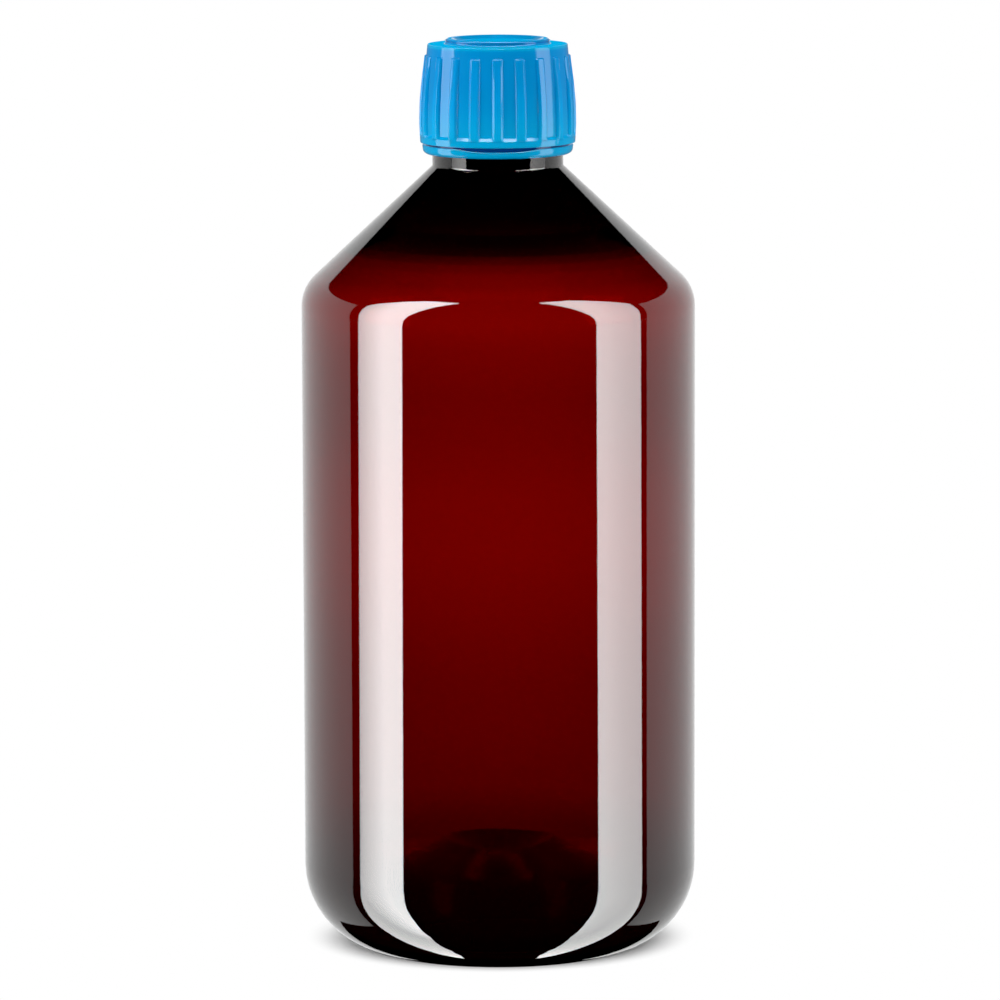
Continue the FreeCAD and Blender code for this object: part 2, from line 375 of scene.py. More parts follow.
def stretchBlownAmberPet(s=amberPetSettings):
    # PET dyed amber right through, stretched and blown against a polished mould: mirror-smooth,
    # clear red where the wall is thin, and black where it is thick
    material, tree, place = newMaterial("stretchBlownAmberPet")
    waves = addNode(tree, "ShaderNodeTexNoise", {"Scale": 1 / (s["waveLength"] * mm), "Detail": 1.0},
                    {"Vector": place})
    drawn = addNode(tree, "ShaderNodeMapping", {"Scale": (1.0, 1.0, 0.03)}, {"Vector": place})
    streaks = addNode(tree, "ShaderNodeTexNoise", {"Scale": 1 / (s["streakWidth"] * mm), "Detail": 2.0},
                      {"Vector": drawn})
    wavy = addNode(tree, "ShaderNodeBump", {"Strength": 1.0, "Distance": s["waveHeight"] * mm},
                   {"Height": waves})
    streaky = addNode(tree, "ShaderNodeBump", {"Strength": 1.0, "Distance": s["streakHeight"] * mm},
                      {"Height": streaks, "Normal": wavy})
    plastic = addNode(tree, "ShaderNodeBsdfPrincipled",
                      {"Base Color": linear(s["colour"]), "Roughness": s["roughness"], "IOR": 1.57,
                       "Transmission Weight": 1.0}, {"Normal": streaky})
    dye = addNode(tree, "ShaderNodeVolumeAbsorption",
                  {"Color": linear(s["dye"]), "Density": s["dyePerMetre"]})
    addNode(tree, "ShaderNodeOutputMaterial", {}, {"Surface": plastic, "Volume": dye})
    return material


bluePpSettings = {
    # (height up the cap in mm, colour): painted light and shade, lighter low on the skirt and on the top face
    "paintedLightByHeight": ((0.0, "#00A0D4"), (3.0, "#009CD2"), (9.0, "#0090CE"), (15.0, "#0088CA"), (21.9, "#0086C8"),
                (22.4, "#009ED0"), (23.12, "#009ED0"), (23.3, "#0088C0")),
    "ribPaintedLight": 1.12, "ribFull": 0.8,              # painted light: the ribs' fronts are lighter than the hollows between them
    # little light gets between cap and band: inside a radius, above the band's foot, below the cap's, mm
    "gapShade": "#0070A6", "gapInside": (17.35, 17.15), "gapBottom": (1.2, 1.4), "gapTop": (1.0, 0.5),
    "mottle": 0.06,                # share by which the flow marks lighten and darken
    "roughness": (0.08, 0.11),
    "gloss": 0.2,
    "grain": 0.35,                 # mm, the fine skin of the mould
    "grainHeight": 0.0004,
    "flow": 9.0,                   # mm, slow sink and flow marks
    "flowHeight": 0.003,
}


def mouldedBluePolypropylene(s=bluePpSettings):
    # polypropylene injected into a fine mould: a deep blue with a weak but clear gloss that shows the lights
    # as pale bands, and no texture from afar; its colour also carries painted light and shade up its height
    # and on its ribs, and painted shade in the gap
    material, tree, place = newMaterial("mouldedBluePolypropylene")
    grain = addNode(tree, "ShaderNodeTexNoise", {"Scale": 1 / (s["grain"] * mm), "Detail": 2.0},
                    {"Vector": place})
    flow = addNode(tree, "ShaderNodeTexNoise", {"Scale": 1 / (s["flow"] * mm), "Detail": 1.0},
                   {"Vector": place})
    height = addNode(tree, "ShaderNodeSeparateXYZ", {}, {0: place}).outputs[2]
    low, high = s["paintedLightByHeight"][0][0], s["paintedLightByHeight"][-1][0]
    # the colour from this ramp is painted light and shade up the cap's height
    upCap = addNode(tree, "ShaderNodeMapRange",
                    {"From Min": (capBottom + low) * mm, "From Max": (capBottom + high) * mm},
                    {"Value": height})
    body = addNode(tree, "ShaderNodeValToRGB", {}, {0: upCap})
    stops = body.color_ramp.elements
    while len(stops) < len(s["paintedLightByHeight"]):
        stops.new(0.5)
    for stop, (above, colour) in zip(stops, s["paintedLightByHeight"]):
        stop.position = (above - low) / (high - low)
        stop.color = linear(colour)
    mottle = addNode(tree, "ShaderNodeMapRange", {"To Min": 1 - s["mottle"], "To Max": 1 + s["mottle"]},
                     {"Value": flow})
    # painted light: the further a point is raised on a rib, the lighter its colour
    raised = addNode(tree, "ShaderNodeAttribute", {"attribute_name": "raised"})
    paintedRibLight = addNode(tree, "ShaderNodeMapRange",
                    {"From Max": s["ribFull"] * mm, "To Min": 1.0, "To Max": s["ribPaintedLight"]},
                    {"Value": raised.outputs["Fac"]})
    strength = calc(tree, "MULTIPLY", mottle, paintedRibLight)
    outwards = addNode(tree, "ShaderNodeVectorMath", {"operation": "MULTIPLY", 1: (1.0, 1.0, 0.0)},
                       {0: place})
    radius = addNode(tree, "ShaderNodeVectorMath", {"operation": "LENGTH"}, {0: outwards})
    inside = addNode(tree, "ShaderNodeMapRange",
                     {"From Min": s["gapInside"][0] * mm, "From Max": s["gapInside"][1] * mm},
                     {"Value": radius.outputs["Value"]})
    overFoot = addNode(tree, "ShaderNodeMapRange",
                       {"From Min": (bandBottom + s["gapBottom"][0]) * mm,
                        "From Max": (bandBottom + s["gapBottom"][1]) * mm}, {"Value": height})
    lowDown = addNode(tree, "ShaderNodeMapRange",
                      {"From Min": (capBottom + s["gapTop"][0]) * mm,
                       "From Max": (capBottom + s["gapTop"][1]) * mm}, {"Value": height})
    between = calc(tree, "MULTIPLY", overFoot, lowDown)
    inGap = calc(tree, "MULTIPLY", inside, between)
    shaded = addNode(tree, "ShaderNodeMix", {"data_type": "RGBA", "blend_type": "MULTIPLY",
                                             7: linear(s["gapShade"])}, {0: inGap, 6: body})
    tint = addNode(tree, "ShaderNodeVectorMath", {"operation": "SCALE"},
                   {0: shaded.outputs[2], "Scale": strength})
    low, high = s["roughness"]
    sheen = addNode(tree, "ShaderNodeMapRange", {"From Min": 0.3, "From Max": 0.7, "To Min": low,
                                                 "To Max": high}, {"Value": flow})
    slow = addNode(tree, "ShaderNodeBump", {"Strength": 1.0, "Distance": s["flowHeight"] * mm},
                   {"Height": flow})
    fine = addNode(tree, "ShaderNodeBump", {"Strength": 1.0, "Distance": s["grainHeight"] * mm},
                   {"Height": grain, "Normal": slow})
    plastic = addNode(tree, "ShaderNodeBsdfPrincipled", {"IOR": 1.49, "Specular IOR Level": s["gloss"]},
                      {"Base Color": tint, "Roughness": sheen, "Normal": fine})
    addNode(tree, "ShaderNodeOutputMaterial", {}, {"Surface": plastic})
    return material


foamSettings = {
    "colour": "#F2F2EE",
    "roughness": 0.55,
    "bubble": 0.5,                 # mm
    "bubbleHeight": 0.02,
}


def foamedPolyethylene(s=foamSettings):
    # a disc punched from foamed polyethylene sheet: white, dull, with a fine closed-cell skin
    material, tree, place = newMaterial("foamedPolyethylene")
    cells = addNode(tree, "ShaderNodeTexVoronoi", {"Scale": 1 / (s["bubble"] * mm)}, {"Vector": place})
    bump = addNode(tree, "ShaderNodeBump", {"Strength": 0.6, "Distance": s["bubbleHeight"] * mm},
                   {"Height": cells.outputs["Distance"]})
    foam = addNode(tree, "ShaderNodeBsdfPrincipled",
                   {"Base Color": linear(s["colour"]), "Roughness": s["roughness"], "IOR": 1.5},
                   {"Normal": bump})
    addNode(tree, "ShaderNodeOutputMaterial", {}, {"Surface": foam})
    return material


# Bottle, in mm
bottleSettings = {
    "columns": 200,
    "bodyDiameter": 91.5, "shoulderCorner": 155.35, "shoulderAngle": 47.0, "shoulderRounding": 9.5,
    "heelRounding": 20.0, "footWidth": 2.0, "footRounding": 0.6,
    "rimWidth": 2.4, "rimHeight": 17.0, "rimRounding": 6.0,
    "crestDiameter": 25.0, "crestHeight": 22.8, "crestRounding": 4.0, "crestWave": 0.45,
    "waveFoot": 8.0, "waveRise": 12.0, "waveTop": 30.0, "waveReach": 8.0,
    "gateDiameter": 11.0, "gateHeight": 18.8, "gateRounding": 2.0,
    "neckDiameter": 30.4, "neckRounding": 0.45, "boreDiameter": 24.8,
    "finishHeight": 20.3, "rootDiameter": 28.8, "lipRounding": 0.5,
    "beadDiameter": 32.1, "beadThickness": 1.1, "beadRamp": 1.4, "beadRounding": 0.15,
    "gateWall": 2.4, "crestWall": 2.4, "baseWall": 2.6, "heelWall": 2.0,
    # (height, wall) up the side, and (radius, wall) up the shoulder
    "sideWalls": ((30.0, 0.86), (42.0, 0.77), (56.0, 0.74), (70.0, 0.69), (85.0, 0.595), (100.0, 0.57),
                  (112.0, 0.59), (125.0, 0.655), (135.0, 0.64), (145.0, 0.55)),
    "cornerWalls": (0.44, 0.49),
    "shoulderWalls": ((42.3, 0.6), (40.5, 0.685), (38.0, 0.735), (36.0, 0.84), (34.0, 1.1), (32.0, 1.45),
                      (29.0, 2.06)),
}


def innerCorners(corners, walls):
    # the inside of a wall whose every stretch has one thickness at its start and one at its end
    lines = []
    for start, end, wall in zip(corners, corners[1:], walls):
        a, b = Vector(start[:2]), Vector(end[:2])
        along = (b - a).normalized()
        inwards = Vector((-along.y, along.x))
        lines.append((a + inwards * wall[0], b + inwards * wall[1]))
    inner = []
    for i in range(1, len(lines)):
        (a, b), (c, d) = lines[i - 1], lines[i]
        first, second = b - a, d - c
        cross = first.cross(second)
        meeting = a + first * ((c - a).cross(second) / cross) if abs(cross) > 0.02 else (b + c) / 2
        wall = (walls[i - 1][1] + walls[i][0]) / 2
        rounding = corners[i][2]
        inner.append((meeting.x, meeting.y, max(rounding - wall, 0.3) if rounding else 0.0))
    return inner


def bottleOutline(s=bottleSettings):
    body, neck, root = s["bodyDiameter"] / 2, s["neckDiameter"] / 2, s["rootDiameter"] / 2
    bore, bead = s["boreDiameter"] / 2, s["beadDiameter"] / 2
    foot = body - s["heelRounding"] - s["footWidth"]
    neckBase = s["shoulderCorner"] + (body - neck) / math.tan(math.radians(s["shoulderAngle"]))
    beadBottom = mouthHeight - s["finishHeight"]
    beadTop = beadBottom + s["beadThickness"]
    wallCorners = [
        (0, s["gateHeight"], 0),
        (s["gateDiameter"] / 2, s["gateHeight"], s["gateRounding"]),
        (s["crestDiameter"] / 2, s["crestHeight"], s["crestRounding"]),
        (foot - s["rimWidth"], s["rimHeight"], s["rimRounding"]),
        (foot, 0, s["footRounding"]),
        (body, 0, s["heelRounding"]),
    ]
    slope = math.tan(math.radians(s["shoulderAngle"]))
    wallCorners += [(body, height, 0) for height, wall in s["sideWalls"]]
    wallCorners.append((body, s["shoulderCorner"], s["shoulderRounding"]))
    for radius, wall in s["shoulderWalls"]:
        wallCorners.append((radius, s["shoulderCorner"] + (body - radius) / slope, 0))
    wallCorners += [(neck, neckBase, s["neckRounding"]), (neck, beadBottom, s["beadRounding"])]
    neckWall = neck - bore
    side = [s["heelWall"]] + [wall for height, wall in s["sideWalls"]] + [s["cornerWalls"][0]]
    shoulder = [s["cornerWalls"][1]] + [wall for radius, wall in s["shoulderWalls"]] + [neckWall]
    walls = [
        (s["gateWall"], s["gateWall"]), (s["gateWall"], s["crestWall"]), (s["crestWall"], s["baseWall"]),
        (s["baseWall"], s["baseWall"]), (s["heelWall"], s["heelWall"]),
    ]
    walls += list(zip(side, side[1:])) + list(zip(shoulder, shoulder[1:])) + [(neckWall, neckWall)]
    finish = [
        (bead, beadBottom, s["beadRounding"]),
        (bead, beadTop, s["beadRounding"]),
        (root, beadTop + s["beadRamp"], s["beadRounding"]),
        (root, mouthHeight, s["lipRounding"]),
        (bore, mouthHeight, s["lipRounding"]),
    ]
    inside = innerCorners(wallCorners, walls)
    return wallCorners + finish + inside[::-1] + [(0, s["gateHeight"] + s["gateWall"], 0)]


threadSettings = {
    "pitch": 4.0, "turns": 1.75, "belowMouth": 2.0, "crest": 0.7, "flank": 0.55, "neckDepth": 1.1,
    "capDepth": 0.95, "capShift": 2.0, "runOut": 0.09,
    "turnsBelow": 0.6, "heightAbove": 1.5,    # how far the fine rows run on past the thread
    "neckRows": 0.22, "capRows": 0.25,
}


def threadSpan(top, t=threadSettings):
    return top - t["pitch"] * (t["turns"] + t["turnsBelow"]), top + t["heightAbove"]


def threadSizes(top, depth, wall, material, t=threadSettings):
    return {"Pitch": t["pitch"] * mm, "Turns": t["turns"], "Top": top * mm, "Crest": t["crest"] * mm,
            "Flank": t["flank"] * mm, "Depth": depth * mm, "Run Out": t["runOut"], "Outside": wall * mm,
            "Material": material}


def makeBottle(material, thread, t=threadSettings, s=bottleSettings):
    outline = roundOutline(bottleOutline(), closed=False)
    top = mouthHeight - t["belowMouth"]
    root = s["rootDiameter"] / 2
    outline = addRows(outline, *threadSpan(top), t["neckRows"], innermost=root - 0.2)
    bottle = spin("amberBottle", outline, evenAngles(s["columns"]))
    # the push-up's crest isn't quite level: it stands a little higher at the sides
    for vertex in bottle.data.vertices:
        place = vertex.co
        if place.z > s["waveTop"] * mm:
            continue
        inPushUp = max(0.0, min(1.0, (place.z / mm - s["waveFoot"]) / s["waveRise"]))
        radius = math.hypot(place.x, place.y) / mm
        nearCrest = max(0.0, 1.0 - abs(radius - s["crestDiameter"] / 2) / s["waveReach"])
        turn = math.atan2(place.y, place.x)
        wave = math.cos(2 * turn) + 0.4 * math.cos(3 * turn + 1.0)
        place.z += s["crestWave"] * mm * inPushUp * nearCrest * wave
    runTree(bottle, thread, threadSizes(top, t["neckDepth"], root, material))
    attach(bottle, "bottle")
    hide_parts("bottle")
    return bottle


# Screw cap, in mm
capSettings = {
    # the plain side and the line of the ribs' fronts, both as (height above the lower edge, radius)
    "side": ((2.25, 17.38), (5.5, 17.42), (14.5, 17.0)), "topRadius": 16.25,
    "ribLine": ((0.0, 18.0), (2.0, 18.08), (4.6, 18.2), (9.4, 18.1), (14.1, 17.66), (18.8, 17.05),
                (22.5, 16.65)),
    "edgeRounding": 0.2, "collarHeight": 2.1,
    "cornerStep": 12.0,    # degrees a facet on the roundings; finer ones pass 200,000 triangles
    "flangeRadius": 18.0, "flangeHeight": 1.5, "flangeRounding": 0.25,
    "ribCount": 20, "ribWidth": 2.55, "ribCorner": 0.6, "ribFlank": 0.55,
    "ribEndRows": 0.06, "sideRows": 1.2,
    "topRaise": 0.3, "bossHeight": 1.3, "bossDiameter": 23.9, "bossSide": 0.65, "bossFootDiameter": 22.1,
    "bossRounding": 0.45, "recessDiameter": 21.5, "recessDepth": 0.75, "recessSlope": 1.8, "topCamber": 0.12,
    "skirtDiameter": 32.8, "wellDiameter": 31.6, "seatDiameter": 29.4, "seatWall": 1.0,
    "seatBelowMouth": 1.2, "skirtHeight": 1.5,
}


def along(line, height):
    # the radius that a line of (height, radius) has at a height
    for (low, lowRadius), (high, highRadius) in zip(line, line[1:]):
        if height <= high:
            return lowRadius + (highRadius - lowRadius) * (height - low) / (high - low)
    return line[-1][1]


def barrelTop(s=capSettings):
    return capTop + s["topRaise"] - s["bossHeight"]


def ribRise(radius, height, s=capSettings):
    # how far a rib stands off the plain side
    above = height - capBottom
    if radius < s["topRadius"] - 0.1 or above < s["flangeHeight"] * 0.5:
        return 0.0
    return max(along(s["ribLine"], above) - radius, 0.0)


def ribAngles(s=capSettings):
    # columns crowd at the flanks of each rib
    radius = s["side"][0][1]
    half = s["ribWidth"] / 2
    flank = s["ribFlank"]
    offsets = [half - flank - 0.15, half - flank]
    offsets += [half - flank * share for share in (0.9, 0.55, 0.28, 0.2, 0.12)] + [half, half + 0.1,
                                                                                   half + 0.6]
    perRib = 2 * math.pi / s["ribCount"]
    around = [0.0] + [offset / radius for offset in offsets] + [perRib / 2]
    around += [perRib - offset / radius for offset in reversed(offsets)]
    return [rib * perRib + angle for rib in range(s["ribCount"]) for angle in around]


def capOutline(s=capSettings):
    top = barrelTop()
    bossTop = capTop + s["topRaise"]
    flange = s["flangeRadius"]
    recess, skirt = s["recessDiameter"] / 2, s["skirtDiameter"] / 2
    well, seat = s["wellDiameter"] / 2, s["seatDiameter"] / 2
    seatBottom = mouthHeight - s["seatBelowMouth"]
    return [
        (0, bossTop - s["recessDepth"], 0),
        (recess - s["recessSlope"], bossTop - s["recessDepth"], 0.5),
        (recess, bossTop, 0.5),
        (s["bossDiameter"] / 2, bossTop, s["bossRounding"]),
        (s["bossDiameter"] / 2, bossTop - s["bossSide"], 0.3),
        (s["bossFootDiameter"] / 2, top + s["topCamber"], 0.4),
        (s["topRadius"], top, s["edgeRounding"]),
        (s["side"][2][1], capBottom + s["side"][2][0], 60.0),
        (s["side"][1][1], capBottom + s["side"][1][0], 40.0),
        (s["side"][0][1], capBottom + s["side"][0][0], 0.2),
        (flange, capBottom + s["flangeHeight"], 0.15),
        (flange, capBottom, s["flangeRounding"]),
        (skirt, capBottom, 0.15),
        (skirt, capBottom + s["skirtHeight"], 0.1),
        (well, capBottom + s["skirtHeight"] + skirt - well, 0.1),
        (well, seatBottom - s["seatWall"], 0.1),
        (seat, seatBottom, 0.1),
        (seat, ceilingHeight, 0.15),
        (0, ceilingHeight, 0),
    ]


def makeCap(material, bars, thread, t=threadSettings, s=capSettings):
    outline = roundOutline(capOutline(), closed=False, stepAngle=s["cornerStep"])
    ribTop = barrelTop() - s["collarHeight"]
    squareFrom = ribTop - s["ribCorner"]
    foot = capBottom + s["side"][0][0]
    outside = s["topRadius"] - 0.3
    outline = addRows(outline, squareFrom - 0.1, ribTop + 0.12, s["ribEndRows"], innermost=outside)
    outline = addRows(outline, foot + 0.3, squareFrom - 0.1, s["sideRows"], innermost=outside)
    well = s["wellDiameter"] / 2
    top = mouthHeight - t["belowMouth"] - t["capShift"]
    outline = addRows(outline, *threadSpan(top), t["capRows"], well - 0.05, well + 0.05)
    cap = spin("ribbedCap", outline, ribAngles(), rise=ribRise)
    runTree(cap, bars, {"Count": s["ribCount"], "Radius": s["side"][0][1] * mm, "Width": s["ribWidth"] * mm,
                        "Top": ribTop * mm, "Corner": s["ribCorner"] * mm, "Flank": s["ribFlank"] * mm,
                        "Material": material})
    runTree(cap, thread, threadSizes(top, -t["capDepth"], well, material))
    cap.visible_glossy = False    # the bottle's shoulder shows the dark room, not the cap
    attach(cap, "cap")
    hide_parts("screw_cap")
    return cap


# Tamper-evident band, in mm
bandSettings = {
    "columns": 240, "diameter": 35.1, "draft": 0.25, "height": 2.4, "innerDiameter": 32.8,
    "bottomRaise": 0.25, "bottomRounding": 1.2, "topRounding": 0.3, "topRaise": 0.2, "topFall": 0.35,
    # how far the upper edge dips in front, over which heights above the band's foot, and where forward
    "frontDip": 0.6, "dipHeights": (1.7, 2.2), "dipForward": (0.82, 0.97),
    "lipWidth": 0.25, "lipBelowCap": 0.06,    # the inner lip that closes the gap from behind
    "nibCount": 12, "nibAngle": 16.0, "nibReach": 0.9, "nibLow": 0.5, "nibHigh": 1.5,
    "nibCorner": 0.3, "nibFlank": 0.25, "nibRows": 0.05,
    "bridgeCount": 20, "bridgeWidth": 0.5, "bridgeTip": 0.3, "bridgeInset": 1.15, "sunk": 0.9,
}


def nibRise(radius, height, s=bandSettings):
    # nibs lean inwards from below and end in a flat ledge that catches under the neck's bead
    if radius > s["innerDiameter"] / 2 + 0.01:
        return 0.0
    above = height - bandBottom - s["nibLow"]
    span = s["nibHigh"] - s["nibLow"]
    if above < 0 or above > span:
        return 0.0
    return -s["nibReach"] * min(above / (span * 0.5), 1.0)


def within(value, start, end):
    return max(0.0, min(1.0, (value - start) / (end - start)))


def makeBand(material, bars, posts, s=bandSettings):
    inner, outer = s["innerDiameter"] / 2, s["diameter"] / 2
    top = bandBottom + s["height"] + s["topRaise"]
    bottom = bandBottom + s["bottomRaise"]
    corners = [
        (inner, bottom, 0.12),
        (outer - s["draft"], bottom, s["bottomRounding"]),
        (outer, top, s["topRounding"]),
        (inner + s["lipWidth"], top - s["topFall"], 0.1),
        (inner + s["lipWidth"], capBottom - s["lipBelowCap"], 0.1),
        (inner, capBottom - s["lipBelowCap"], 0.12),
    ]
    outline = roundOutline(corners, closed=True)
    low, high = bandBottom + s["nibLow"] - 0.02, bandBottom + s["nibHigh"] + 0.02
    outline = addRows(outline, low, high, s["nibRows"], 0, inner + 0.02)
    band = spin("tamperBand", outline, evenAngles(s["columns"]), rise=nibRise)
    # the band's upper edge dips at the front, where the gap under the cap is widest
    for vertex in band.data.vertices:
        radius = math.hypot(vertex.co.x, vertex.co.y)
        share = within(vertex.co.z / mm - bandBottom, *s["dipHeights"])
        nearFront = within(-vertex.co.y / radius, *s["dipForward"])
        if radius > (inner + 0.1) * mm and vertex.co.z < (top + 0.05) * mm:
            vertex.co.z -= s["frontDip"] * mm * share * nearFront
    nibWidth = inner * math.radians(s["nibAngle"])
    runTree(band, bars, {"Count": s["nibCount"], "Radius": inner * mm, "Width": nibWidth * mm, "Top": 1.0,
                         "Corner": s["nibCorner"] * mm, "Flank": s["nibFlank"] * mm, "Material": material})
    reach = capBottom - top
    runTree(band, posts, {"Count": s["bridgeCount"], "Ring Radius": (outer - s["bridgeInset"]) * mm,
                          "Foot": (top - s["sunk"]) * mm, "Height": (reach + s["sunk"]) * mm,
                          "Foot Width": s["bridgeWidth"] * mm, "Tip Width": s["bridgeTip"] * mm,
                          "Material": material})
    band.visible_glossy = False
    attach(band, "bottle")
    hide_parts("tamper_band")
    return band


# Sealing disc, in mm
discSettings = {"columns": 96, "rounding": 0.12}


def makeDisc(material, s=discSettings):
    low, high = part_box("liner_disc")
    radius = high.x / mm
    corners = [(0, low.z / mm, 0), (radius, low.z / mm, s["rounding"]), (radius, high.z / mm, s["rounding"]),
               (0, high.z / mm, 0)]
    disc = spin("sealingDisc", roundOutline(corners, closed=False), evenAngles(s["columns"]))
    disc.data.materials.append(material)
    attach(disc, "liner")
    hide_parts("liner_disc")
    return disc


amber = stretchBlownAmberPet()
blue = mouldedBluePolypropylene()
foam = foamedPolyethylene()
print("materials ready")
bars, thread, posts = raisedBars(), helicalThread(), standingPosts()
makeBottle(amber, thread)
print("bottle ready")
makeCap(blue, bars, thread)
makeBand(blue, bars, posts)
makeDisc(foam)
print("cap, band and disc ready")


# Floor: pale, white where the camera looks past the bottle; a painted shadow disc set back behind it holds
# its real shadow
floorSettings = {"size": 8.0, "colour": "#E4E4E4", "shadowBack": 12.0, "shadowFrom": 34.4, "shadowTo": 46.4}


def makeFloor(s=floorSettings):
    half = s["size"] / 2
    mesh = bpy.data.meshes.new("studioFloor")
    mesh.from_pydata([(-half, -half, 0), (half, -half, 0), (half, half, 0), (-half, half, 0)], [],
                     [(0, 1, 2, 3)])
    floor = bpy.data.objects.new("studioFloor", mesh)
    scene.collection.objects.link(floor)
    floor.visible_glossy = False    # the tall lights run on below the floor in the bottle's reflections
    material, tree, place = newMaterial("paleStudioFloor")
    # painted shadow: the white fades out within a soft disc set back behind the bottle, where the matt floor
    # and its real shadow show
    fromShadow = addNode(tree, "ShaderNodeVectorMath",
                         {"operation": "DISTANCE", 1: (0.0, s["shadowBack"] * mm, 0.0)}, {0: place})
    outsidePaintedShadow = addNode(tree, "ShaderNodeMapRange", {"interpolation_type": "SMOOTHSTEP",
                                               "From Min": s["shadowFrom"] * mm,
                                               "From Max": s["shadowTo"] * mm},
                  {"Value": fromShadow.outputs["Value"]})
    ray = addNode(tree, "ShaderNodeLightPath")
    seen = calc(tree, "MAXIMUM", ray.outputs["Is Camera Ray"], ray.outputs["Is Transmission Ray"])
    share = calc(tree, "MULTIPLY", seen, outsidePaintedShadow)
    matt = addNode(tree, "ShaderNodeBsdfDiffuse", {"Color": linear(s["colour"])})
    white = addNode(tree, "ShaderNodeEmission", {"Color": (1.0, 1.0, 1.0, 1.0), "Strength": 1.0})
    both = addNode(tree, "ShaderNodeMixShader", {}, {0: share, 1: matt, 2: white})
    addNode(tree, "ShaderNodeOutputMaterial", {}, {"Surface": both})
    mesh.materials.append(material)


# World: a white room to look at and a soft even light to be lit by. Reflections see two tall
# lights beside the camera, a white backdrop behind, a soft box above, and dark elsewhere. Directions
# are told by forward and up, both per sideways, so that an upright edge keeps one forward value.
worldSettings = {
    "fill": (0.4, 1.4),             # soft light at the horizon and overhead
    "fillFront": 0.45,              # share of it left in front of the bottle
    # (up, forward) down the edge of a tall light that faces the camera, and down its other edge
    "nearEdge": ((8.0, 3.29), (1.2, 1.0), (0.7, 0.845), (0.3, 0.71), (0.0, 0.65), (-0.12, 0.643),
                 (-0.17, 0.625), (-0.25, 0.612), (-0.37, 0.605), (-1.15, 0.475), (-2.1, 0.16), (-4.19, -1.03),
                 (-6.22, -2.66), (-8.0, -5.04)),
    "farEdge": ((8.0, 6.07), (1.717, 0.578), (0.519, 0.0), (-0.067, 0.005), (-0.165, -0.016), (-0.25, -0.028),
                (-0.5, -0.11), (-0.94, -0.261), (-1.43, -0.442), (-2.17, -0.8), (-3.29, -1.48),
                (-8.0, -4.92)),
    "upSpan": (-8.0, 8.0), "forwardSpan": (-6.0, 8.0),
    "rightTrim": (-0.035, -0.03),    # the far and near edge on the right stand a little further back
    # the cap's and band's satin gloss shows the lights further back: far and near edge, left and right
    "capShift": ((-0.27, -0.39), (-0.05, -0.19)),
    "satinBack": 0.2,               # how bright it shows the backdrop
    # straight behind, its top faces show a painted reflection of their own blue rim, and the white backdrop
    # beside it
    "behindGap": (0.025, 0.04), "paintedRimColour": "#00B4EC", "besideGap": (0.12, 0.1),
    "leftLight": (7.2, 15.0), "leftRamp": 0.35,
    "rightLight": (7.0, 11.0), "rightRamp": 0.5,
    "neckSees": (-0.089, 0.007), "neckShare": 0.27,    # the neck shows the lights dimmer
    "satinShare": 0.8,              # how bright the satin cap shows them
    "backEdge": -0.11, "backLean": (0.34, -0.045), "backTop": (0.405, 0.385),
    "backFoot": ((-1.5, -1.07), (-11.5, -6.07)),    # (forward, up) of its foot, near and far
    # the soft box above, with where each side of it starts and is full
    "boxLight": 20.0, "boxWide": (0.62, 0.58), "boxFront": (0.06, 0.01), "boxLow": (0.82, 0.87),
    "soft": 0.02,
}


